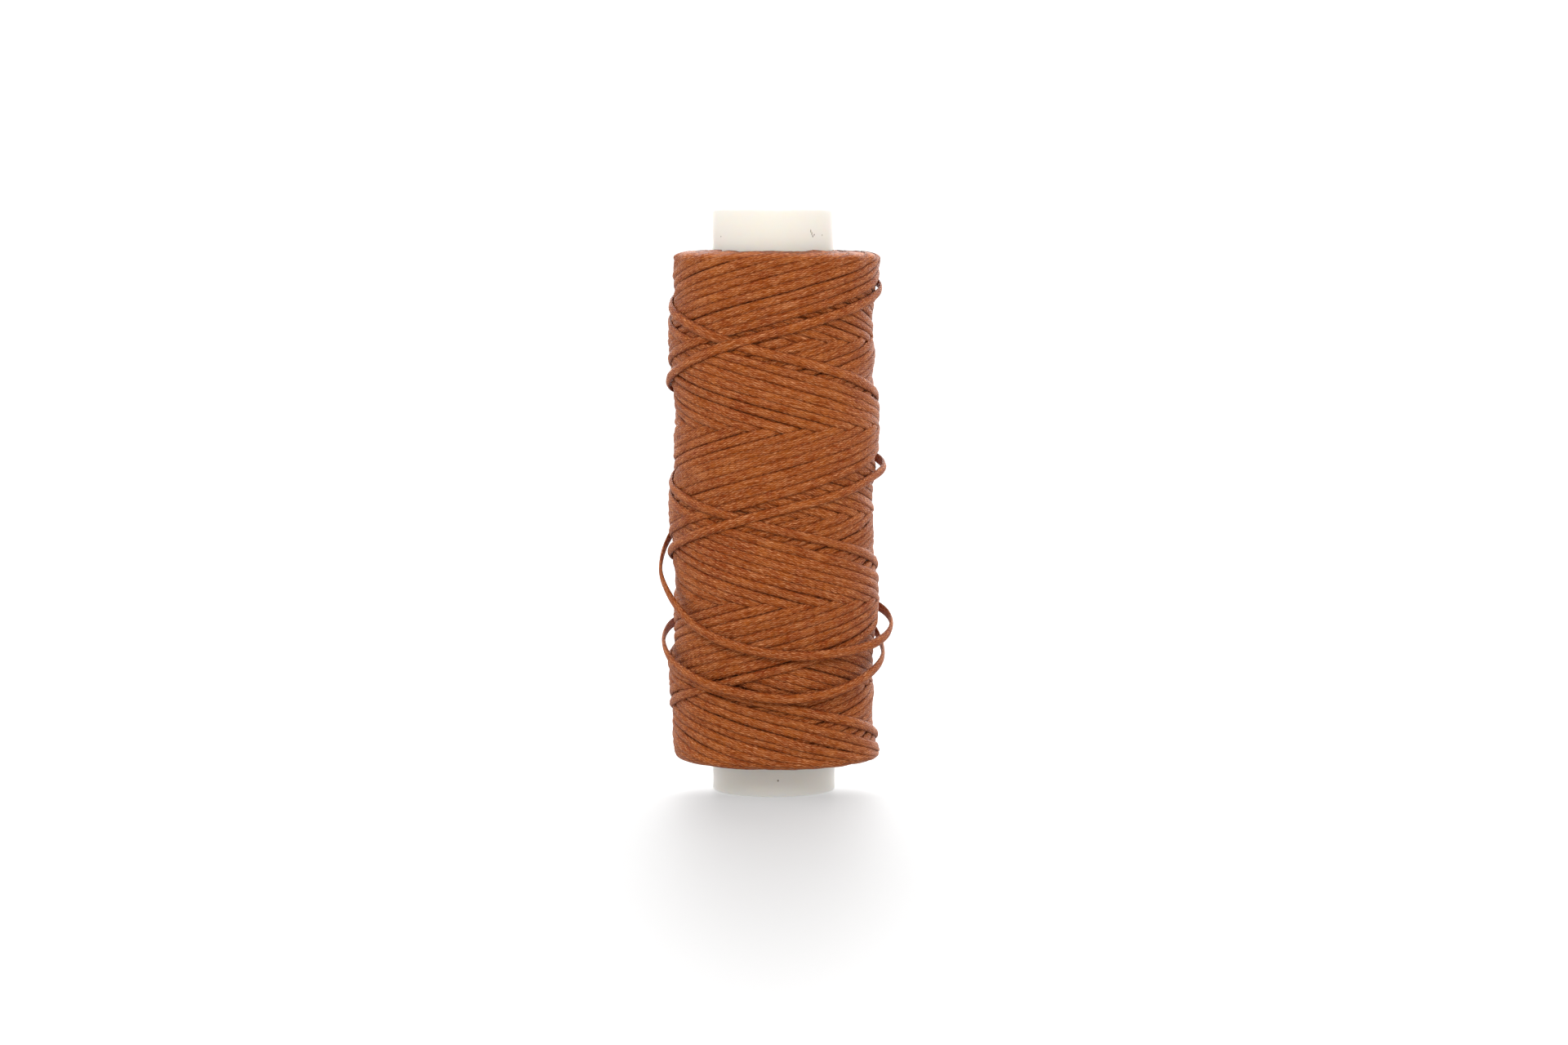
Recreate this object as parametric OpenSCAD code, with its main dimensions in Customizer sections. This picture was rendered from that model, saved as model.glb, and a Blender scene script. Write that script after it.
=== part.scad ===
// Spool of waxed thread: a plain plastic core tube, wound crosswise with one
// continuous flat braided thread, whose last two turns hang slack round the outside.
// Millimetres, +Z up, origin at the centre of the tube's bottom face.

/* [Core tube] */
// Length of the core tube, which is the spool's overall height
core_length = 80; // [60:1:120]
// Outside diameter of the core tube
core_outer_d = 16.8; // [12:0.2:24]
// Wall thickness of the core tube
core_wall = 1.4; // [0.8:0.1:2.5]
// Chamfer on the four edges of the tube's two rims
rim_chamfer = 0.3; // [0.1:0.05:0.35]

/* [Winding] */
// Length of tube left bare below the winding
bare_bottom = 4.5; // [2:0.5:8]
// Length of tube left bare above the winding
bare_top = 6.1; // [2:0.1:10]
// Share of the tube that the last, unfinished layer covers
last_share = 0.45; // [0.2:0.05:1]
// Rounding of the shoulder at both ends of each layer
shoulder_radius = 0.35; // [0.1:0.05:0.45]

/* [Thread] */
// Width of the flat braided thread
thread_width = 1.35; // [0.6:0.05:2]
// Thickness of the flat braided thread
thread_thickness = 0.45; // [0.3:0.05:0.8]
// Gap between the slack turns and the winding where they lie on it
thread_seat = 0.1; // [0.1:0.05:0.3]

/* [Hidden] */

$fn = 96;
core_r = core_outer_d / 2;
bore_r = core_r - core_wall;
winding_low = bare_bottom;
winding_high = core_length - bare_top;

// Each full layer covers the tube once with rising turns and once with falling
// turns, so it is two threads deep. The outer layer is unfinished, and its sleeve
// has the mean depth of the turns that it has
full_layers = 6;
layer_depth = 2 * thread_thickness;
outer_depth = layer_depth * last_share;
winding_r = core_r + full_layers * layer_depth + outer_depth;

thread_colour = [0.61, 0.32, 0.17];
core_colour = [0.90, 0.88, 0.84];

// Route of the slack turns round the winding, in order along the thread:
// [angle round the spool, lift off the winding, height above the base]
route = [
    [66, 0.1, 49.9], [82, 0.1, 48.1], [102, 0.1, 45.5], [122, 0.2, 42.6],
    [142, 0.2, 39.3], [160, 0.2, 35.9], [173, 0.8, 33.1], [184, 1.1, 30.4],
    [195, 0.8, 28.2], [207, 0.4, 26.0], [222, 0.2, 23.8], [240, 0.2, 22.0],
    [260, 0.2, 20.7], [282, 0.2, 20.0], [304, 0.2, 20.1], [322, 0.5, 20.5],
    [337, 1.0, 21.1], [350, 1.5, 22.0], [361, 1.7, 23.2], [372, 1.4, 24.3],
    [388, 0.8, 25.2], [412, 0.7, 25.5], [442, 0.7, 24.9], [474, 0.4, 24.1],
    [504, 0.3, 23.2], [524, 0.5, 22.4], [539, 0.7, 21.0], [551, 0.6, 19.5],
    [566, 0.4, 17.9], [588, 0.2, 16.2], [612, 0.2, 14.9], [636, 0.2, 14.2],
    [658, 0.2, 14.6], [678, 0.3, 15.8], [696, 0.5, 17.2], [712, 0.6, 18.6],
    [728, 0.4, 20.4], [746, 0.1, 22.9], [772, 0.1, 25.3], [800, 0.1, 27.2]
];
// Distance between one ring of the swept thread and the next
ring_step = 3;
// Outline of the flat thread: [share of half width, share of half thickness]
thread_outline = [
    [1, 0.4], [0.7, 1], [-0.7, 1], [-1, 0.4],
    [-1, -0.4], [-0.7, -1], [0.7, -1], [1, -0.4]
];

// A smooth value between b and c, where a and d are the values on either side
function blend(a, b, c, d, t) =
    0.5 * (2 * b + (c - a) * t + (2 * a - 5 * b + 4 * c - d) * t * t
    + (3 * b - a - 3 * c + d) * t * t * t);

// The route at a place s, where s counts points from 0 to len(route) - 1
function route_at(s) =
    let (last = len(route) - 1, i = min(floor(s), last - 1))
    blend(route[max(i - 1, 0)], route[i], route[i + 1], route[min(i + 2, last)], s - i);

// Radius of the slack thread's middle, for a given lift off the winding
function thread_r(lift) = winding_r + thread_seat + thread_thickness / 2 + lift;

function on_cylinder(p) =
    [thread_r(p[1]) * cos(p[0]), thread_r(p[1]) * sin(p[0]), p[2]];

function unit(v) = v / norm(v);

// Places along the route, spread so that the rings stand about ring_step apart
ring_places = [
    for (i = [0 : len(route) - 2])
        let (span = norm(on_cylinder(route[i + 1]) - on_cylinder(route[i])),
             steps = max(1, round(span / ring_step)))
        for (k = [0 : steps - 1]) i + k / steps,
    len(route) - 1
];

// One ring of the flat thread, with its thin direction pointing out of the spool
function ring(s) =
    let (reach = 0.01, last = len(route) - 1,
         here = on_cylinder(route_at(s)),
         ahead = on_cylinder(route_at(min(s + reach, last))),
         behind = on_cylinder(route_at(max(s - reach, 0))),
         along = unit(ahead - behind),
         outward = unit([here[0], here[1], 0]),
         across = unit(cross(outward, along)),
         face = cross(along, across))
    [for (p = thread_outline)
        here + p[0] * thread_width / 2 * across + p[1] * thread_thickness / 2 * face];

module core_tube() {
    color(core_colour)
    rotate_extrude()
    polygon([
        [bore_r + rim_chamfer, 0], [core_r - rim_chamfer, 0], [core_r, rim_chamfer],
        [core_r, core_length - rim_chamfer], [core_r - rim_chamfer, core_length],
        [bore_r + rim_chamfer, core_length], [bore_r, core_length - rim_chamfer],
        [bore_r, rim_chamfer]
    ]);
}

// A sleeve of wound thread with rounded shoulders
module sleeve(inner_r, depth) {
    rounding = min(shoulder_radius, depth / 2);
    color(thread_colour)
    rotate_extrude() {
        translate([inner_r, winding_low + rounding])
            square([depth, winding_high - winding_low - 2 * rounding]);
        translate([inner_r, winding_low])
            square([depth - rounding, winding_high - winding_low]);
        for (z = [winding_low + rounding, winding_high - rounding])
            translate([inner_r + depth - rounding, z])
                circle(rounding, $fn = 32);
    }
}

// Full layer number n, counted outward from the tube
module winding_layer(n) {
    sleeve(core_r + (n - 1) * layer_depth, layer_depth);
}

module winding_layer_1() { winding_layer(1); }
module winding_layer_2() { winding_layer(2); }
module winding_layer_3() { winding_layer(3); }
module winding_layer_4() { winding_layer(4); }
module winding_layer_5() { winding_layer(5); }
module winding_layer_6() { winding_layer(6); }

module outer_layer() {
    sleeve(core_r + full_layers * layer_depth, outer_depth);
}

// The slack turns: one flat tube swept along the route, closed at both ends
module loose_turns() {
    sides = len(thread_outline);
    rings = len(ring_places);
    points = [for (s = ring_places) each ring(s)];
    walls = [
        for (i = [0 : rings - 2], k = [0 : sides - 1])
            let (a = i * sides + k, b = i * sides + (k + 1) % sides)
            each [[a, b, b + sides], [a, b + sides, a + sides]]
    ];
    first_cap = [for (k = [sides - 1 : -1 : 0]) k];
    last_cap = [for (k = [0 : sides - 1]) (rings - 1) * sides + k];
    color(thread_colour)
    polyhedron(points, concat(walls, [first_cap, last_cap]));
}

core_tube();
winding_layer_1();
winding_layer_2();
winding_layer_3();
winding_layer_4();
winding_layer_5();
winding_layer_6();
outer_layer();
loose_turns();
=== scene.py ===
import math

import bpy
import numpy as np
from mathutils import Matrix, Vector


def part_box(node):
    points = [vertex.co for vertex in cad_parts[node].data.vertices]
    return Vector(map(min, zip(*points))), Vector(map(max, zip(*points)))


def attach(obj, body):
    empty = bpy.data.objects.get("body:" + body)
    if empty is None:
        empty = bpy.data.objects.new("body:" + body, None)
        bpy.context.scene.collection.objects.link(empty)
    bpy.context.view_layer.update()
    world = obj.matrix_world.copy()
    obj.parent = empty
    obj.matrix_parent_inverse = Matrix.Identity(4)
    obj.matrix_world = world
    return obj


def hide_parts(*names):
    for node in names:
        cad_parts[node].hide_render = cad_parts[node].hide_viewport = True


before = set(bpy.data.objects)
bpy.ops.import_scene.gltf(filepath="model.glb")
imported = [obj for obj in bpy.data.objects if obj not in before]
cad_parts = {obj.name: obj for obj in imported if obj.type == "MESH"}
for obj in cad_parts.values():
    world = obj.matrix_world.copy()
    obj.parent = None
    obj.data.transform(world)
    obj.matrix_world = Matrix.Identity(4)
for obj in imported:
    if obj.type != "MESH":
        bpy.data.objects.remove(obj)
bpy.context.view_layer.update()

# ---- Camera ----------------------------------------------------------------------
# A long lens, level with the spool's top rim and tilted down a little, so that the
# bottom of the winding is seen from slightly above and the top rim edge on.
MM = 0.001
tube_low, tube_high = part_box("core_tube")
camera_distance = 565 * MM
camera_right = 1.4 * MM
camera_tilt = math.radians(4.36)

camera_data = bpy.data.cameras.new("camera")
camera_data.sensor_width = 36
camera_data.lens = 94.6
camera = bpy.data.objects.new("camera", camera_data)
bpy.context.scene.collection.objects.link(camera)
camera.location = (camera_right, -camera_distance, tube_high.z)
camera.rotation_euler = (math.radians(90) - camera_tilt, 0, 0)
bpy.context.scene.camera = camera

# ---- Core tube -------------------------------------------------------------------
# A plain tube of off-white plastic, open at both ends. It is extruded and cut to
# length, so its rims are square with just the sharp corner taken off.
core_r = (tube_high.x - tube_low.x) / 2 / MM
core_height = (tube_high.z - tube_low.z) / MM
core_wall = 1.4
rim_round = 0.35
heights_between = (0.2, 0.4, 0.6, 0.8)  # shares of the height with a ring of points


def new_piece(name, points, faces):
    """A smooth mesh from points in millimetres, riding on the spool's only body."""
    mesh = bpy.data.meshes.new(name)
    mesh.from_pydata([Vector(p) * MM for p in points], [], faces)
    mesh.polygons.foreach_set("use_smooth", [True] * len(mesh.polygons))
    piece = bpy.data.objects.new(name, mesh)
    bpy.context.scene.collection.objects.link(piece)
    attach(piece, "root")
    return piece


def rounded_corner(r, z, start_turn, steps=5):
    """Points of the quarter circle with its centre at (r, z) that rounds off a corner
    of the tube's wall."""
    angles = [start_turn + math.pi / 2 * i / steps for i in range(steps + 1)]
    return [(r + rim_round * math.cos(a), z + rim_round * math.sin(a)) for a in angles]


bore_r = core_r - core_wall
top_z, low_z = core_height - rim_round, rim_round
wall_outline = (
    rounded_corner(bore_r + rim_round, low_z, math.pi)
    + rounded_corner(core_r - rim_round, low_z, 1.5 * math.pi)
    + [(core_r, core_height * share) for share in heights_between]
    + rounded_corner(core_r - rim_round, top_z, 0)
    + rounded_corner(bore_r + rim_round, top_z, 0.5 * math.pi)
    + [(bore_r, core_height * share) for share in reversed(heights_between)]
)
tube_sides = 160
ring_size = len(wall_outline)
tube_points = [
    (r * math.cos(turn), r * math.sin(turn), z)
    for turn in (2 * math.pi * i / tube_sides for i in range(tube_sides))
    for r, z in wall_outline
]
tube_faces = [
    (
        i * ring_size + j,
        (i + 1) % tube_sides * ring_size + j,
        (i + 1) % tube_sides * ring_size + (j + 1) % ring_size,
        i * ring_size + (j + 1) % ring_size,
    )
    for i in range(tube_sides)
    for j in range(ring_size)
]
core_tube = new_piece("core_tube_moulding", tube_points, tube_faces)
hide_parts("core_tube")


def new_material(name):
    """A node material with its Principled shader, ready to be wired."""
    material = bpy.data.materials.new(name)
    material.use_nodes = True
    shader = material.node_tree.nodes["Principled BSDF"]
    return material, material.node_tree, shader


def add_node(tree, kind, **settings):
    """A node of this kind, with its settings and its unlinked inputs."""
    node = tree.nodes.new(kind)
    for key, value in settings.items():
        if key in node.inputs.keys():
            node.inputs[key].default_value = value
        else:
            setattr(node, key, value)
    return node


def maths(tree, operation, *values):
    """One Math node fed by sockets or plain numbers; gives its output socket."""
    node = tree.nodes.new("ShaderNodeMath")
    node.operation = operation
    for socket, value in zip(node.inputs, values):
        if isinstance(value, (int, float)):
            socket.default_value = value
        else:
            tree.links.new(value, socket)
    return node.outputs[0]


def mix_colours(tree, factor, a, b, blend_type="MIX"):
    """Mixes two colours, each a socket or a plain colour; gives the mixed socket."""
    node = add_node(tree, "ShaderNodeMix", data_type="RGBA", blend_type=blend_type)
    sockets = {s.name: s for s in node.inputs if s.type == "RGBA"}
    sockets["Factor"] = node.inputs[0]
    for name, value in (("Factor", factor), ("A", a), ("B", b)):
        if isinstance(value, (int, float, tuple)):
            sockets[name].default_value = value
        else:
            tree.links.new(value, sockets[name])
    return next(s for s in node.outputs if s.type == "RGBA")


plastic_pale, plastic_warm = (0.90, 0.88, 0.83, 1), (0.85, 0.82, 0.76, 1)
wax_crumb_brown = (0.16, 0.10, 0.06, 1)
# Crumbs of wax stuck to the tube: angle round it, height, reach sideways and upwards
wax_crumbs = [
    (306.7, 76.95, 0.08, 0.24), (307.9, 76.6, 0.08, 0.24), (309.1, 76.25, 0.11, 0.15),
    (310.9, 76.45, 0.11, 0.11), (211.5, 76.2, 0.09, 0.11), (321.5, 76.4, 0.09, 0.09),
    (274.0, 2.3, 0.13, 0.15),
    (60.0, 76.9, 0.12, 0.10), (118.0, 2.1, 0.14, 0.12), (165.0, 77.6, 0.09, 0.14),
]

plastic, tree, shader = new_material("core_plastic")
shader.inputs["Subsurface Weight"].default_value = 0.6
shader.inputs["Subsurface Radius"].default_value = (1.0, 0.8, 0.6)
shader.inputs["Subsurface Scale"].default_value = 2 * MM
where = add_node(tree, "ShaderNodeTexCoord").outputs["Object"]
# The plastic clouds a little between two whites, and each crumb shows through as brown
cloud = add_node(tree, "ShaderNodeTexNoise", Scale=90.0, Detail=3.0)
tree.links.new(where, cloud.inputs["Vector"])
colour = mix_colours(tree, cloud.outputs["Fac"], plastic_warm, plastic_pale)
for crumb_angle, crumb_z, reach_side, reach_up in wax_crumbs:
    turned = math.radians(crumb_angle)
    spot = (core_r * math.cos(turned) * MM, core_r * math.sin(turned) * MM, crumb_z * MM)
    offset = add_node(tree, "ShaderNodeVectorMath", operation="SUBTRACT")
    offset.inputs[1].default_value = spot
    tree.links.new(where, offset.inputs[0])
    shrunk = add_node(tree, "ShaderNodeVectorMath", operation="DIVIDE")
    shrunk.inputs[1].default_value = (reach_side * MM, reach_side * MM, reach_up * MM)
    tree.links.new(offset.outputs[0], shrunk.inputs[0])
    distance = add_node(tree, "ShaderNodeVectorMath", operation="LENGTH")
    tree.links.new(shrunk.outputs[0], distance.inputs[0])
    crumb = maths(tree, "MULTIPLY_ADD", distance.outputs["Value"], -1.6, 1.9)
    crumb = maths(tree, "MINIMUM", maths(tree, "MAXIMUM", crumb, 0.0), 0.75)
    colour = mix_colours(tree, crumb, colour, wax_crumb_brown)
tree.links.new(colour, shader.inputs["Base Color"])
# Faint scuffs from handling dull the surface in streaks that run round the tube
scuffs = add_node(tree, "ShaderNodeTexNoise", Scale=1.0, Detail=4.0)
drawn_out = add_node(tree, "ShaderNodeVectorMath", operation="MULTIPLY")
drawn_out.inputs[1].default_value = (150, 150, 1400)  # streaks to the metre
tree.links.new(where, drawn_out.inputs[0])
tree.links.new(drawn_out.outputs[0], scuffs.inputs["Vector"])
dull = add_node(tree, "ShaderNodeMapRange", **{"To Min": 0.28, "To Max": 0.48})
tree.links.new(scuffs.outputs["Fac"], dull.inputs["Value"])
tree.links.new(dull.outputs["Result"], shader.inputs["Roughness"])
bump = add_node(tree, "ShaderNodeBump", Strength=0.25, Distance=0.02 * MM)
tree.links.new(scuffs.outputs["Fac"], bump.inputs["Height"])
tree.links.new(bump.outputs["Normal"], shader.inputs["Normal"])
core_tube.data.materials.append(plastic)

# ---- Thread wound on the tube ----------------------------------------------------
# One flat braided polyester thread, waxed, some 50 m long. The tube turned steadily
# while a guide led the thread up and down it, three turns and a little over each way,
# so each trip lies beside the last one and crosses the trips that ran the other way.
thread_width, thread_depth = 1.35, 0.45
pitch = 23.6  # the guide's travel in one turn
step_over = 1.25  # from one trip to the next one that runs the same way
full_layers, last_share = 6, 0.45
turns_per_trip = 3 + step_over / pitch / 2
trips_per_layer = 2 * pitch / step_over
trips = round((full_layers + last_share) * trips_per_layer)
samples_per_turn = 360
sample_count = int(trips * turns_per_trip * samples_per_turn)
turn = np.arange(sample_count) / samples_per_turn
random = np.random.default_rng(7)

# The guide turns back with the thread's middle at these heights. The thread slips
# outward a little there, so the ends stand nearer the layer's ends than half a width
layer_low, layer_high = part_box("winding_layer_1")
end_low = layer_low.z / MM + thread_width / 2 - 0.25
end_high = layer_high.z / MM - thread_width / 2 + 0.35


def soften(values, width):
    """Smooths a row of samples (or each column of rows) with a bell of this width."""
    reach = max(1, int(3 * width))
    bell = np.exp(-0.5 * (np.arange(-reach, reach + 1) / width) ** 2)
    bell /= bell.sum()
    padded = np.concatenate([values[:1].repeat(reach, 0), values, values[-1:].repeat(reach, 0)])
    if values.ndim == 1:
        return np.convolve(padded, bell, "valid")
    return np.stack([np.convolve(column, bell, "valid") for column in padded.T], 1)


def wander(turns, spacing, amount):
    """A smooth random drift along the thread, with a new value every spacing turns."""
    knots = np.arange(0, turns[-1] + 4 * spacing, spacing)
    values = random.normal(0, amount, len(knots))
    return soften(np.interp(turns, knots, values), spacing * samples_per_turn / 3)


# Height of the guide: straight runs up and down, eased as the thread turns back. The
# guide turns back more sharply at the top than at the bottom
easing = 2 * (turns_per_trip - (end_high - end_low) / pitch)
easing_top, easing_bottom = 0.26 * easing, 0.74 * easing
backwards = (trips * turns_per_trip - turn) % (2 * turns_per_trip)
from_top = np.minimum(backwards, 2 * turns_per_trip - backwards)
from_bottom = turns_per_trip - from_top


def run_back(distance, easing):
    """Turns' worth of height gained, this many turns after the end of a trip."""
    eased = easing / 2 + distance**2 / (2 * easing)
    return np.where(distance < easing, eased, distance) - easing / 2


height = np.where(
    from_top < from_bottom,
    end_high - pitch * run_back(from_top, easing_top),
    end_low + pitch * run_back(from_bottom, easing_bottom),
)
# No trip lies quite evenly, and the last one down and the last one up stand apart
# from their neighbours: turns since the trip began, and how far above its even place
last_down_apart = [
    (0.0, 0.0), (0.2, 0.8), (0.39, 1.6), (0.54, 0.5), (0.7, 0.8), (0.86, 0.5), (1.1, 0.6),
    (1.38, 0.7), (1.57, 0.8), (1.7, 1.0), (1.86, 1.3), (2.1, 0.6), (2.38, -0.4),
    (2.5, 0.1), (2.7, 0.8), (2.87, 1.2), (3.0, 0.0),
]
last_up_apart = [
    (0.0, 0.0), (1.07, -0.7), (1.35, -1.7), (1.54, -0.7), (1.68, -1.2), (1.84, -1.6),
    (2.1, -1.3), (2.36, -1.7), (2.5, -0.3), (2.68, -0.4), (2.82, -0.7), (3.0, 0.0),
]
since_last_down = turn - (trips - 2) * turns_per_trip
since_last_up = turn - (trips - 1) * turns_per_trip
apart = np.interp(since_last_down, *zip(*last_down_apart))
apart += np.interp(since_last_up, *zip(*last_up_apart))
# 1 where the guide turns back and 0 from a little way on
at_ends = 1 - np.clip(np.minimum(from_top, from_bottom) / 0.12, 0, 1)
drift = wander(turn, 0.7, 0.10) + wander(turn, 3.0, 0.11)
height += (1 - at_ends) * drift + soften(apart, samples_per_turn * 0.04)
height += at_ends * wander(turn, 2.0, 0.10) + wander(turn, 0.03, 0.03)

# The last trip up passes this angle at this height, on the side that faces front
last_up_angle, last_up_height = 245, 38.7
turns_up_to_it = (last_up_height - end_low) / pitch + easing_bottom / 2
angle = math.radians(last_up_angle) + 2 * math.pi * (since_last_up - turns_up_to_it)

# Its rounded edges nest into one another, so it is made a little deeper to fill the
# winding out to its full size
nesting = 1.07
depth = thread_depth * (nesting + wander(turn, 0.05, 0.06))
width = thread_width * (1 + wander(turn, 0.15, 0.07) + wander(turn, 0.03, 0.035))

# The surface that the thread is laid on: its radius at each tenth of a mm and degree
cell = 0.1
grid_low = end_low - 2
rows = int((end_high - end_low + 4) / cell) + 1
row_height = grid_low + cell * np.arange(rows)
surface = np.full((rows, 360), core_r)
# Nine columns across the thread, and the weights that turn them into seventeen
across = np.array([-1, -0.93, -0.74, -0.4, 0, 0.4, 0.74, 0.93, 1])
fine = np.linspace(-1, 1, 17)
to_fine = np.stack([np.interp(fine, across, column) for column in np.eye(9)])
bend = 0.65  # how far the thread follows the bumps under it, from stiff 0 to limp 1


def crown(u):
    """Share of the thread's depth at u, from -1 at one edge to 1 at the other. It is
    rounded on top and lies flat on what is under it."""
    return 0.12 + 0.88 * (1 - np.abs(u) ** 2) ** 0.55


def spread_out(angles, heights, slope, offsets, radius):
    """Angle and height of the points that lie offsets across the thread."""
    turned = angles[:, None] - offsets * np.sin(slope)[:, None] / radius
    return turned, heights[:, None] + offsets * np.cos(slope)[:, None]


def cells(angles, heights):
    """Row and column of the surface's cell at each place."""
    row = np.clip(((heights - grid_low) / cell).round().astype(int), 0, rows - 1)
    return row, np.degrees(angles).round().astype(int) % 360


def lay(angles, heights, widths, depths, lift=0.0, least=0.0):
    """Lays a run of thread on the surface, and raises the surface by it. Gives the
    radius of its underside in nine columns across it, and the slope of its climb."""
    radius = surface.mean()
    slope = np.arctan2(np.gradient(heights), np.gradient(angles) * radius)
    offsets = across[None] * widths[:, None] / 2
    under = surface[cells(*spread_out(angles, heights, slope, offsets, radius))]
    # It bridges the gaps under it, and strands that stand up press into it a little
    pressed_in = 0.12
    floor = soften(under, 3.0)
    floor = soften(np.maximum(floor, under - pressed_in), 1.5)
    floor = bend * floor + (1 - bend) * floor.mean(1, keepdims=True)
    floor = np.maximum(floor + np.reshape(lift, (-1, 1)), np.reshape(least, (-1, 1)))
    offsets = fine[None] * widths[:, None] / 2
    places = cells(*spread_out(angles, heights, slope, offsets, radius))
    top = floor @ to_fine + depths[:, None] * crown(fine)[None]
    np.maximum.at(surface, places, top)
    return floor, slope


# The last trip up lacks its lowest turn, which has come loose. A short stub is left
# after the turn at the bottom, and the trip starts again at the back of the spool
stub_turns = 0.16
rejoin_angle = 80
rejoin_turns = turns_up_to_it + (rejoin_angle - last_up_angle) / 360
loose = (since_last_up > stub_turns) & (since_last_up < rejoin_turns)
stub_end = np.argmax(loose)
rejoin = stub_end + loose.sum()

# The last two trips lie loosely on the winding, and in a few places the last one up is
# bowed out off it: angle, height, lift
bows = [(6, 44.6, 0.95), (362, 69.0, 0.45), (178, 56.2, 0.35), (185, 32.6, 0.2)]
bow_degrees, bow_reach = 18, 3.5
bow = 0.1 * (since_last_down > 0.1)
for bow_angle, bow_height, bow_lift in bows:
    turned = (angle - math.radians(bow_angle) + math.pi) % (2 * math.pi) - math.pi
    close = np.hypot(np.degrees(turned) / bow_degrees, (height - bow_height) / bow_reach)
    bow += bow_lift * np.exp(-(close**2)) * (since_last_up > 0)

levelled_in = 0.06  # excess thickness that would press the thread quite flat
flattest, fullest = 0.15, 1.4
floor = np.zeros((sample_count, 9))
slope = np.zeros(sample_count)
trip_starts = [round(trip * turns_per_trip * samples_per_turn) for trip in range(trips)]
stretches = list(zip(trip_starts[:-1], trip_starts[1:]))
stretches += [(trip_starts[-1], stub_end), (rejoin, sample_count)]
for first, last in stretches:
    run = slice(first, last)
    # Where the winding has grown thick, as at its ends, the thread is pressed flatter,
    # and where it is thin the thread keeps more of its depth
    grown = soften(surface.mean(1), 2)
    thick = grown - np.median(grown)
    pressed = np.clip(1 - thick / levelled_in, flattest, fullest)
    inside = np.clip(height[run], end_low + 0.3, end_high - 0.3)
    depth[run] *= np.interp(inside, row_height, pressed)
    floor[run], slope[run] = lay(angle[run], height[run], width[run], depth[run], bow[run])


def tuck_in(floor, reach, sunk=0.75):
    """Sinks the last samples of a run, so that its cut end goes under its neighbours."""
    share = np.linspace(0, 1, reach) ** 2
    floor[-reach:] -= sunk * (share * (3 - 2 * share))[:, None]


# Two cut ends are tucked in, the stub's and that of the last trip up
tuck_in(floor[:stub_end], 20)
tuck_in(floor, 25)
travelled = np.hypot(np.diff(height), np.diff(angle) * floor[1:].mean(1))
travelled[stub_end - 1:rejoin] = 0
along = np.concatenate([[0], np.cumsum(travelled)])

# Fine polyester filaments plaited flat, dyed rust brown and drawn through wax. The plaits
# lean both ways in turn and the dye takes unevenly. Shade is painted along the edges and in
# the hollows between plaits, and a highlight is painted on the raised filaments.
braid = bpy.data.node_groups.new("flat_braid", "ShaderNodeTree")
for socket_name, socket_type, start in (
    ("Run", "NodeSocketVector", None),
    ("Width", "NodeSocketFloat", 1.35 * MM),
    ("Plait Width", "NodeSocketFloat", 0.27 * MM),
    ("Plait Slant", "NodeSocketFloat", 0.24),
    ("Patch Length", "NodeSocketFloat", 1.6 * MM),
):
    socket = braid.interface.new_socket(socket_name, in_out="INPUT", socket_type=socket_type)
    if start is not None:
        socket.default_value = start
for socket_name in ("Height", "Plait Tone", "Filaments", "Patches", "Edge"):
    braid.interface.new_socket(socket_name, in_out="OUTPUT", socket_type="NodeSocketFloat")

given = braid.nodes.new("NodeGroupInput").outputs
result = braid.nodes.new("NodeGroupOutput").inputs
split = add_node(braid, "ShaderNodeSeparateXYZ")
braid.links.new(given["Run"], split.inputs[0])
along_it, across_it = split.outputs["X"], split.outputs["Y"]


def noise_at(tree, x, y, z, detail=2.0):
    """Noise read at a place made of three sockets or numbers, about one cell per unit."""
    place = tree.nodes.new("ShaderNodeCombineXYZ")
    for socket, value in zip(place.inputs, (x, y, z)):
        if isinstance(value, (int, float)):
            socket.default_value = value
        else:
            tree.links.new(value, socket)
    noise = add_node(tree, "ShaderNodeTexNoise", Scale=1.0, Detail=detail)
    tree.links.new(place.outputs[0], noise.inputs["Vector"])
    return noise.outputs["Fac"]


# Distance along and across in plaits, a little uneven
patch_run = maths(braid, "DIVIDE", along_it, given["Patch Length"])
plait_run = maths(braid, "DIVIDE", along_it, given["Plait Width"])
plait_side = maths(
    braid, "DIVIDE", maths(braid, "MULTIPLY", across_it, given["Width"]), given["Plait Width"]
)
uneven = noise_at(braid, maths(braid, "MULTIPLY", plait_run, 0.35), plait_side, 4.0)
plait_side = maths(braid, "ADD", plait_side, maths(braid, "MULTIPLY", uneven, 1.1))
leaning = maths(braid, "MULTIPLY", plait_run, given["Plait Slant"])
one_way = maths(braid, "ADD", plait_side, leaning)
other_way = maths(braid, "SUBTRACT", plait_side, leaning)
cell_one, cell_other = maths(braid, "FLOOR", one_way), maths(braid, "FLOOR", other_way)
over = maths(braid, "FLOORED_MODULO", maths(braid, "ADD", cell_one, cell_other), 2.0)


def ridge(place):
    """Height of a round ridge in each unit of place, 0 at its two sides and 1 on top."""
    from_top = maths(braid, "SUBTRACT", maths(braid, "FRACT", place), 0.5)
    fall = maths(braid, "MULTIPLY", maths(braid, "POWER", from_top, 2.0), 4.0)
    return maths(braid, "SUBTRACT", 1.0, fall)


def either(first, second):
    """First where one lot of plaits is on top, second where the other lot is."""
    node = add_node(braid, "ShaderNodeMix", data_type="FLOAT")
    braid.links.new(over, node.inputs[0])
    braid.links.new(first, node.inputs[2])
    braid.links.new(second, node.inputs[3])
    return node.outputs[0]


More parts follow.
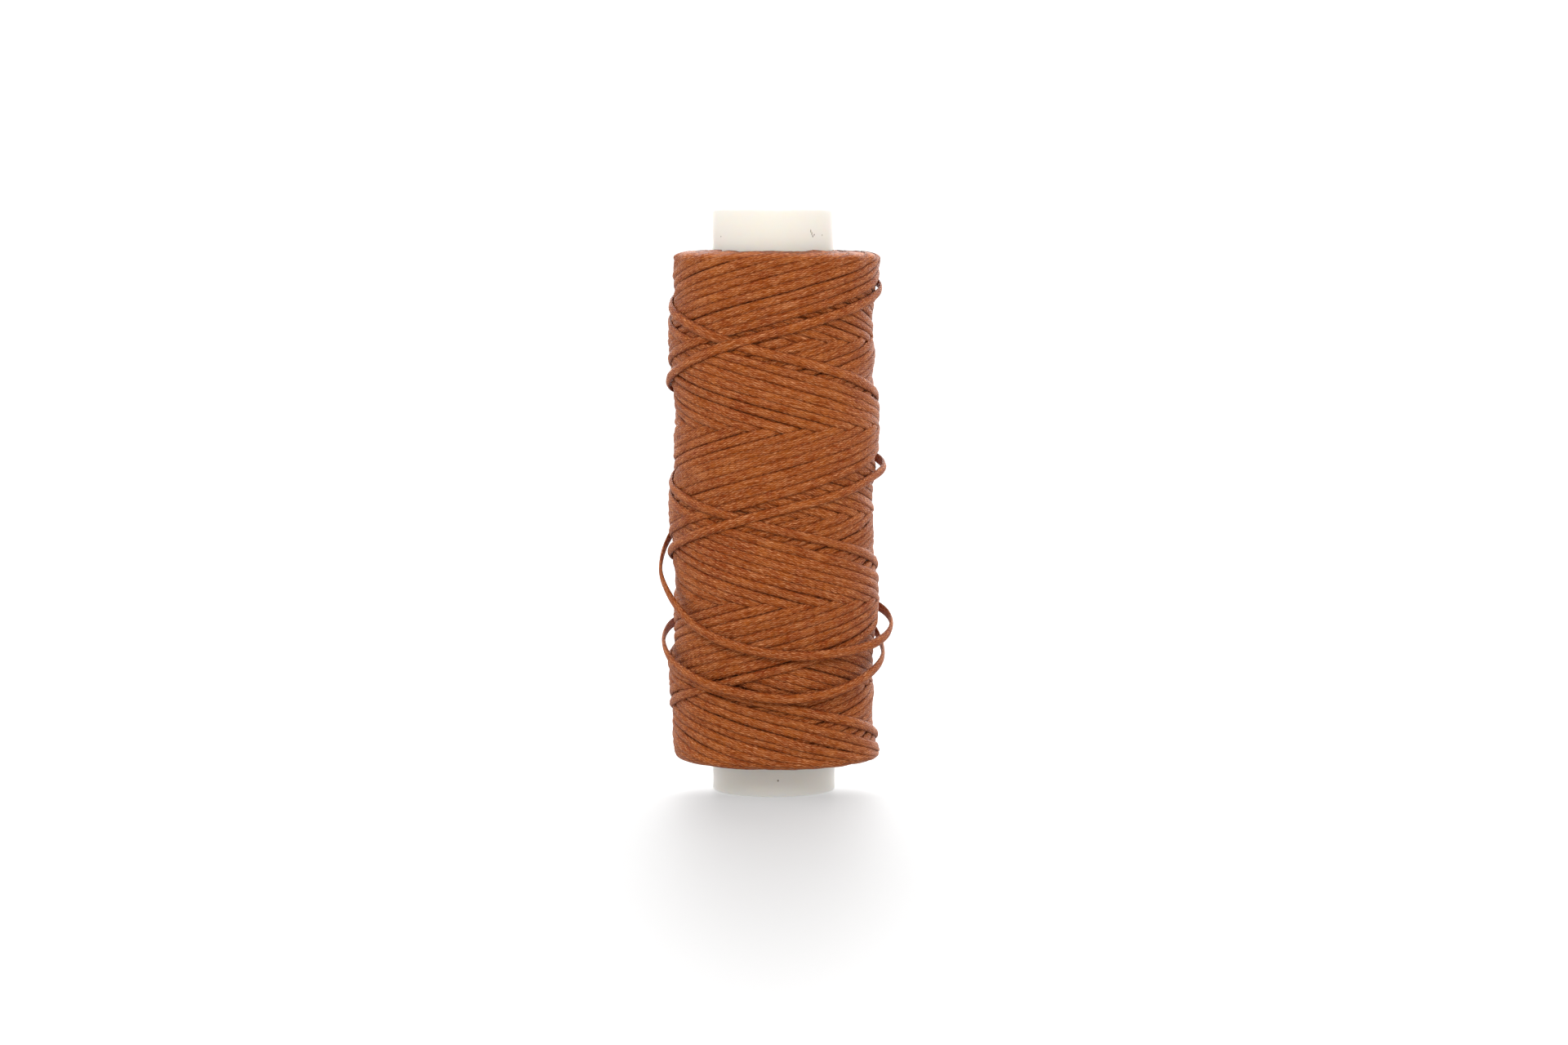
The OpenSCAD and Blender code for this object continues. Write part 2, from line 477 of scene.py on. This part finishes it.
ridge_one, ridge_other = ridge(one_way), ridge(other_way)
dip_one = maths(braid, "MULTIPLY_ADD", ridge_other, 0.4, 0.6)
dip_other = maths(braid, "MULTIPLY_ADD", ridge_one, 0.4, 0.6)
arch_one = maths(braid, "MULTIPLY", ridge_one, dip_one)
arch_other = maths(braid, "MULTIPLY", ridge_other, dip_other)
# Filaments are narrow across their plait and long down it
narrow_one, long_one = (maths(braid, "MULTIPLY", one_way, share) for share in (2.0, 0.25))
narrow_other, long_other = (maths(braid, "MULTIPLY", other_way, share) for share in (2.0, 0.25))
filaments = either(
    noise_at(braid, narrow_one, long_other, 1.0),
    noise_at(braid, long_one, narrow_other, 7.0),
)
# Gaps between bundles of filaments that run down the whole thread
bundle_run = maths(braid, "MULTIPLY", plait_run, 0.09)
bundle_side = maths(braid, "MULTIPLY", plait_side, 1.5)
splits = noise_at(braid, bundle_run, bundle_side, 12.0)
filaments = maths(braid, "MULTIPLY_ADD", splits, 0.45, maths(braid, "MULTIPLY", filaments, 0.7))
filaments = maths(braid, "SUBTRACT", filaments, 0.075)
plait_height = maths(braid, "MULTIPLY_ADD", filaments, 0.5, either(arch_one, arch_other))
cell_place = braid.nodes.new("ShaderNodeCombineXYZ")
braid.links.new(cell_one, cell_place.inputs[0])
braid.links.new(cell_other, cell_place.inputs[1])
cell_tone = add_node(braid, "ShaderNodeTexWhiteNoise", noise_dimensions="2D")
braid.links.new(cell_place.outputs[0], cell_tone.inputs["Vector"])
patches = noise_at(braid, patch_run, maths(braid, "MULTIPLY", across_it, 0.8), 9.0, detail=3.0)
# Shade is painted at the thread's edges, in the grooves between strands, and comes and goes as the
# plaits turn back under it
from_middle = maths(braid, "ABSOLUTE", maths(braid, "SUBTRACT", across_it, 0.5))
notch = maths(braid, "PINGPONG", maths(braid, "MULTIPLY", plait_run, 0.32), 0.5)
from_middle = maths(braid, "ADD", from_middle, maths(braid, "MULTIPLY_ADD", notch, 0.16, -0.05))
edge = maths(braid, "POWER", maths(braid, "MULTIPLY", from_middle, 2.0), 5.0)
edge = maths(braid, "MINIMUM", edge, 1.0)
for socket_name, value in (
    ("Height", plait_height),
    ("Plait Tone", cell_tone.outputs["Value"]),
    ("Filaments", filaments),
    ("Patches", patches),
    ("Edge", edge),
):
    braid.links.new(value, result[socket_name])

# The darkest colour is painted shade for the grooves at the thread's edges
edge_shade_painted, rust_deep = (0.085, 0.010, 0.0006, 1), (0.255, 0.033, 0.003, 1)
# The pale colour is a painted highlight on the raised filaments; the one below is painted shade for
# the hollows between plaits
rust_gold, highlight_painted = (0.47, 0.120, 0.016, 1), (0.69, 0.28, 0.12, 1)
plait_shade_painted = (0.075, 0.008, 0.0005, 1)
waxed, tree, shader = new_material("waxed_thread")
shader.inputs["Specular IOR Level"].default_value = 0.16
shader.inputs["Specular Tint"].default_value = (1.0, 0.62, 0.4, 1)
shader.inputs["Sheen Weight"].default_value = 0.05
shader.inputs["Sheen Roughness"].default_value = 0.3
shader.inputs["Sheen Tint"].default_value = (1.0, 0.62, 0.4, 1)
run_map = add_node(tree, "ShaderNodeUVMap", uv_map="thread_run")
plaits = tree.nodes.new("ShaderNodeGroup")
plaits.node_tree = braid
tree.links.new(run_map.outputs["UV"], plaits.inputs["Run"])
# The tone drifts over patches a few turns wide as well as from plait to plait
where = add_node(tree, "ShaderNodeTexCoord").outputs["Object"]
broad = add_node(tree, "ShaderNodeTexNoise", Scale=130.0, Detail=3.0)
tree.links.new(where, broad.inputs["Vector"])
gold = maths(tree, "MULTIPLY_ADD", plaits.outputs["Patches"], 1.3, -0.55)
gold = maths(tree, "MULTIPLY_ADD", broad.outputs["Fac"], 0.7, maths(tree, "SUBTRACT", gold, 0.3))
gold = maths(tree, "MULTIPLY_ADD", plaits.outputs["Plait Tone"], 0.3, maths(tree, "ADD", gold, 0.15))
gold = maths(tree, "MINIMUM", maths(tree, "MAXIMUM", gold, 0.0), 1.0)
colour = mix_colours(tree, gold, rust_deep, rust_gold)
# The filaments' own uneven tone, with painted shade where the plaits lie low and a painted highlight
# where they stand highest
shade = maths(tree, "MULTIPLY_ADD", plaits.outputs["Filaments"], 3.0, -0.35)
relief = maths(tree, "MULTIPLY_ADD", plaits.outputs["Height"], 0.45, 0.62)
shade = maths(tree, "MULTIPLY", shade, relief)
colour = mix_colours(tree, maths(tree, "MINIMUM", shade, 1.0), plait_shade_painted, colour)
lit = maths(tree, "MAXIMUM", maths(tree, "SUBTRACT", shade, 1.0), 0.0)
colour = mix_colours(tree, lit, colour, highlight_painted)
# Painted shade: the thread's edges are darkened towards the painted groove shade
colour = mix_colours(tree, maths(tree, "MULTIPLY", plaits.outputs["Edge"], 0.75), colour, edge_shade_painted)
tree.links.new(colour, shader.inputs["Base Color"])
wax = maths(tree, "MULTIPLY_ADD", plaits.outputs["Filaments"], 0.35, 0.38)
tree.links.new(wax, shader.inputs["Roughness"])
bump = add_node(tree, "ShaderNodeBump", Strength=1.0, Distance=0.07 * MM)
tree.links.new(plaits.outputs["Height"], bump.inputs["Height"])
tree.links.new(bump.outputs["Normal"], shader.inputs["Normal"])

# The section's outline: nine points over the top and three along the underside, each
# with the column of the surface under it and its share of the depth
outline_across = np.concatenate([across, [0.74, 0, -0.74]])
outline_column = [0, 1, 2, 3, 4, 5, 6, 7, 8, 6, 4, 2]
outline_rise = np.append(crown(across), [-0.05, -0.12, -0.05])
sides = len(outline_across)


def thread_piece(name, angles, heights, floors, slopes, widths, depths, run):
    """A run of thread as one closed tube of flat section. Its thread_run map gives
    the metres along the thread and the share across it."""
    radius = floors.mean(1)
    offsets = outline_across[None] * widths[:, None] / 2
    ring_angle, ring_z = spread_out(angles, heights, slopes, offsets, radius[:, None])
    ring_r = floors[:, outline_column] + depths[:, None] * outline_rise
    points = np.stack([ring_r * np.cos(ring_angle), ring_r * np.sin(ring_angle), ring_z], 2)
    rings = len(angles)
    start, side = np.arange(rings - 1)[:, None] * sides, np.arange(sides)[None]
    ahead = (side + 1) % sides
    quads = np.stack([start + side, start + sides + side, start + sides + ahead, start + ahead], 2)
    quads = quads.reshape(-1, 4)
    caps = np.concatenate([np.arange(sides), (rings - 1) * sides + np.arange(sides)[::-1]])
    corners = np.concatenate([quads.ravel(), caps]).astype(np.int32)
    mesh = bpy.data.meshes.new(name)
    mesh.vertices.add(rings * sides)
    mesh.vertices.foreach_set("co", (points * MM).astype(np.float32).ravel())
    mesh.loops.add(len(corners))
    mesh.loops.foreach_set("vertex_index", corners)
    mesh.polygons.add(len(quads) + 2)
    starts = np.concatenate([np.arange(len(quads)) * 4, [quads.size, quads.size + sides]])
    mesh.polygons.foreach_set("loop_start", starts.astype(np.int32))
    mesh.polygons.foreach_set("use_smooth", np.ones(len(quads) + 2, bool))
    mesh.update(calc_edges=True)
    mesh.validate()

    pattern = np.stack([np.repeat(run * MM, sides), np.tile((outline_across + 1) / 2, rings)], 1)
    mesh.uv_layers.new(name="thread_run")
    mesh.uv_layers["thread_run"].data.foreach_set("uv", pattern[corners].astype(np.float32).ravel())

    # A second map lays the thread out flat in rows, for baking
    length, girth = run[-1] - run[0], 2.2 * thread_width
    strips = max(1, round(math.sqrt(length / girth)))
    per_strip = math.ceil((rings + 1) / strips)
    ring_of, side_of = np.divmod(np.arange(len(quads)), sides)
    strip, place = np.divmod(ring_of, per_strip)
    corner_ring, corner_side = np.array([0, 1, 1, 0]), np.array([0, 0, 1, 1])
    flat_u = (place[:, None] + corner_ring) / per_strip
    flat_v = (strip[:, None] + 0.04 + 0.92 * (side_of[:, None] + corner_side) / sides) / strips
    cap_angle = 2 * math.pi * np.arange(sides) / sides
    cap_u = (per_strip - np.array([[1.5], [0.5]]) + 0.3 * np.cos(cap_angle)) / per_strip
    cap_v = (strips - 0.5 + 0.3 * np.sin(cap_angle) * np.ones((2, 1))) / strips
    flat = np.stack([np.append(flat_u, cap_u), np.append(flat_v, cap_v)], 1)
    mesh.uv_layers.new(name="OFBake")
    mesh.uv_layers["OFBake"].data.foreach_set("uv", flat.astype(np.float32).ravel())

    piece = bpy.data.objects.new(name, mesh)
    bpy.context.scene.collection.objects.link(piece)
    piece.data.materials.append(waxed)
    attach(piece, "root")
    return piece


def wound_piece(name, node, first, last, every):
    """The thread from sample first to last, with a ring every few degrees."""
    chosen = np.append(np.arange(first, last - 1, every), last - 1)
    piece = thread_piece(
        name, angle[chosen], height[chosen], floor[chosen], slope[chosen],
        width[chosen], depth[chosen], along[chosen],
    )
    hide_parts(node)
    return piece


# One piece for each coverage. The sixth is in two halves and the unfinished one leaves
# its last trip to a piece of its own. What shows has closer rings than what is hidden
layer_samples = int(trips_per_layer * turns_per_trip * samples_per_turn)
hidden_step, outer_step, last_step = 8, 3, 2
for layer in range(1, full_layers):
    begin = (layer - 1) * layer_samples
    wound_piece(
        f"winding_layer_{layer}_thread", f"winding_layer_{layer}", begin,
        begin + layer_samples + 1, hidden_step,
    )
for half in (0, 1):
    begin = (full_layers - 1) * layer_samples + half * layer_samples // 2
    wound_piece(
        f"winding_layer_{full_layers}_thread_{half + 1}", f"winding_layer_{full_layers}",
        begin, begin + layer_samples // 2 + 1, outer_step,
    )
first_outer = full_layers * layer_samples
wound_piece("outer_layer_thread", "outer_layer", first_outer, stub_end, outer_step)
wound_piece("last_trip_thread", "outer_layer", rejoin, sample_count, last_step)

# ---- Slack turns -----------------------------------------------------------------
# The last two turns of the same thread have come loose. They hang round the lower
# half of the winding, tucked under it at the back, and run on into the last trip up.
outer_low, outer_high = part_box("outer_layer")
winding_r = (outer_high.x - outer_low.x) / 2 / MM
thread_seat = 0.1
# Angle round the spool, lift off the winding and height above the base
route = [
    (66, 0.1, 49.9), (82, 0.1, 48.1), (102, 0.1, 45.5), (122, 0.2, 42.6),
    (142, 0.2, 39.3), (160, 0.2, 35.9), (173, 0.8, 33.1), (184, 1.1, 30.4),
    (195, 0.8, 28.2), (207, 0.4, 26.0), (222, 0.2, 23.8), (240, 0.2, 22.0),
    (260, 0.2, 20.7), (282, 0.2, 20.0), (304, 0.2, 20.1), (322, 0.5, 20.5),
    (337, 1.0, 21.1), (350, 1.5, 22.0), (361, 1.7, 23.2), (372, 1.4, 24.3),
    (388, 0.8, 25.2), (412, 0.7, 25.5), (442, 0.7, 24.9), (474, 0.4, 24.1),
    (504, 0.3, 23.2), (524, 0.5, 22.4), (539, 0.7, 21.0), (551, 0.6, 19.5),
    (566, 0.4, 17.9), (588, 0.2, 16.2), (612, 0.2, 14.9), (636, 0.2, 14.2),
    (658, 0.2, 14.6), (678, 0.3, 15.8), (696, 0.5, 17.2), (712, 0.6, 18.6),
    (728, 0.4, 20.4), (746, 0.1, 22.9), (772, 0.1, 25.3), (800, 0.1, 27.2),
]
knots = np.array(route, float)
place = np.linspace(0, len(knots) - 1, 740)
index = np.minimum(place.astype(int), len(knots) - 2)
t = (place - index)[:, None]
a, b, c, d = (knots[np.clip(index + k, 0, len(knots) - 1)] for k in (-1, 0, 1, 2))
smooth_route = 0.5 * (
    2 * b + (c - a) * t + (2 * a - 5 * b + 4 * c - d) * t**2 + (3 * b - a - 3 * c + d) * t**3
)
cord_angle, cord_lift, cord_height = np.radians(smooth_route[:, 0]), *smooth_route[:, 1:].T
cord_width = np.full(len(place), thread_width)
cord_depth = np.full(len(place), thread_depth)
cord_least = winding_r + thread_seat + cord_lift

# The tail is laid first, because the first loose turn hangs over it at the back. Where
# the thread has hardly any lift it lies on the strands, and elsewhere it stands off
hardly_any_lift = 0.15
cord_floor = np.zeros((len(place), 9))
cord_slope = np.zeros(len(place))
tail = len(place) * 36 // len(knots)  # the tail runs from about its 36th point on
for run in (slice(tail, len(place)), slice(0, tail)):
    cord_floor[run], cord_slope[run] = lay(
        cord_angle[run], cord_height[run], cord_width[run], cord_depth[run],
        least=cord_least[run] * (cord_lift[run] > hardly_any_lift),
    )
cord_floor = soften(cord_floor, 3)
cord_slope = soften(cord_slope, 1.5)
tuck_in(cord_floor[::-1], 25)

# The stretch between its last points runs smoothly into the last trip's first ring
ease_over = 1.4
ease_in = np.clip((place - place[-1] + ease_over) / ease_over, 0, 1)
ease_in = ease_in**2 * (3 - 2 * ease_in)
cord_height += ease_in * (height[rejoin] - cord_height[-1])
cord_slope += ease_in * (slope[rejoin] - cord_slope[-1])
cord_width += ease_in * (width[rejoin] - thread_width)
cord_depth += ease_in * (depth[rejoin] - thread_depth)
cord_floor += ease_in[:, None] * (floor[rejoin] - cord_floor[-1])
cord_angle += ease_in * ((angle[rejoin] - cord_angle[-1] + math.pi) % (2 * math.pi) - math.pi)

cord_middle = cord_floor.mean(1) + cord_depth / 2
centreline = np.stack(
    [cord_middle * np.cos(cord_angle), cord_middle * np.sin(cord_angle), cord_height], 1
)
cord_run = np.append(0, np.cumsum(np.linalg.norm(np.diff(centreline, axis=0), axis=1)))
slack_turns = thread_piece(
    "slack_turns", cord_angle, cord_height, cord_floor, cord_slope, cord_width, cord_depth,
    along[rejoin] - cord_run[-1] + cord_run,
)
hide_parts("loose_turns")

# ---- Floor and light -------------------------------------------------------------
# A plain white table that glows as white as the studio round it, behind the spool and
# further out, so that only the patch in front of the tube is shaded. The room is
# darker towards the front. One large soft light hangs above and before the spool, and
# another one behind it lights its edges.
floor_mesh = bpy.data.meshes.new("floor")
floor_mesh.from_pydata([(-3, -3, 0), (3, -3, 0), (3, 3, 0), (-3, 3, 0)], [], [(0, 1, 2, 3)])
table_top = bpy.data.objects.new("floor", floor_mesh)
bpy.context.scene.collection.objects.link(table_top)
table, tree, shader = new_material("table_white")
shader.inputs["Roughness"].default_value = 0.6
shader.inputs["Emission Color"].default_value = (1, 1, 1, 1)
shaded_white, shaded_glow = 0.19, 0.44
where = add_node(tree, "ShaderNodeTexCoord").outputs["Object"]
split = add_node(tree, "ShaderNodeSeparateXYZ")
tree.links.new(where, split.inputs[0])
far_out = add_node(tree, "ShaderNodeVectorMath", operation="LENGTH")
tree.links.new(where, far_out.inputs[0])
# The glow grows with the distance back and with the distance out, between these mm
glow = []
for distance, start, end in ((split.outputs["Y"], -9, 12), (far_out.outputs["Value"], 80, 320)):
    change = add_node(tree, "ShaderNodeMapRange", interpolation_type="SMOOTHSTEP")
    change.inputs["From Min"].default_value = start * MM
    change.inputs["From Max"].default_value = end * MM
    tree.links.new(distance, change.inputs["Value"])
    glow.append(change.outputs["Result"])
glow = maths(tree, "MAXIMUM", *glow)
own_white = maths(tree, "MULTIPLY_ADD", glow, -shaded_white, shaded_white)
own_glow = maths(tree, "MULTIPLY_ADD", glow, 1 - shaded_glow, shaded_glow)
tree.links.new(own_white, shader.inputs["Base Color"])
tree.links.new(own_glow, shader.inputs["Emission Strength"])
table_top.data.materials.append(table)

world = bpy.data.worlds.new("studio")
bpy.context.scene.world = world
world.use_nodes = True
tree = world.node_tree
direction = add_node(tree, "ShaderNodeTexCoord").outputs["Generated"]
split = add_node(tree, "ShaderNodeSeparateXYZ")
tree.links.new(direction, split.inputs[0])
# Strength of the room's light by direction, from behind the camera to the far wall
towards_back = maths(tree, "MULTIPLY_ADD", split.outputs["Y"], 0.8, 0.9)
towards_back = maths(tree, "MINIMUM", maths(tree, "MAXIMUM", towards_back, 0.25), 1.25)
seen_directly = add_node(tree, "ShaderNodeLightPath").outputs["Is Camera Ray"]
room = maths(tree, "MAXIMUM", towards_back, seen_directly)
tree.nodes["Background"].inputs["Color"].default_value = (1, 1, 1, 1)
tree.links.new(room, tree.nodes["Background"].inputs["Strength"])


def softbox(name, place, aim, size, power):
    """A square studio light at place, in metres, turned towards aim."""
    light = bpy.data.lights.new(name, "AREA")
    light.size = size
    light.energy = power
    lamp = bpy.data.objects.new(name, light)
    bpy.context.scene.collection.objects.link(lamp)
    lamp.location = place
    lamp.rotation_euler = (Vector(aim) - Vector(place)).to_track_quat("-Z", "Y").to_euler()
    lamp.visible_camera = False


middle = (0, 0, core_height / 2 * MM)
softbox("key_light", (0, -0.70, 0.67), middle, 0.6, 5.0)
softbox("back_light", (0.08, 0.55, 0.32), middle, 0.7, 5.0)
bpy.context.scene.view_settings.view_transform = "Standard"
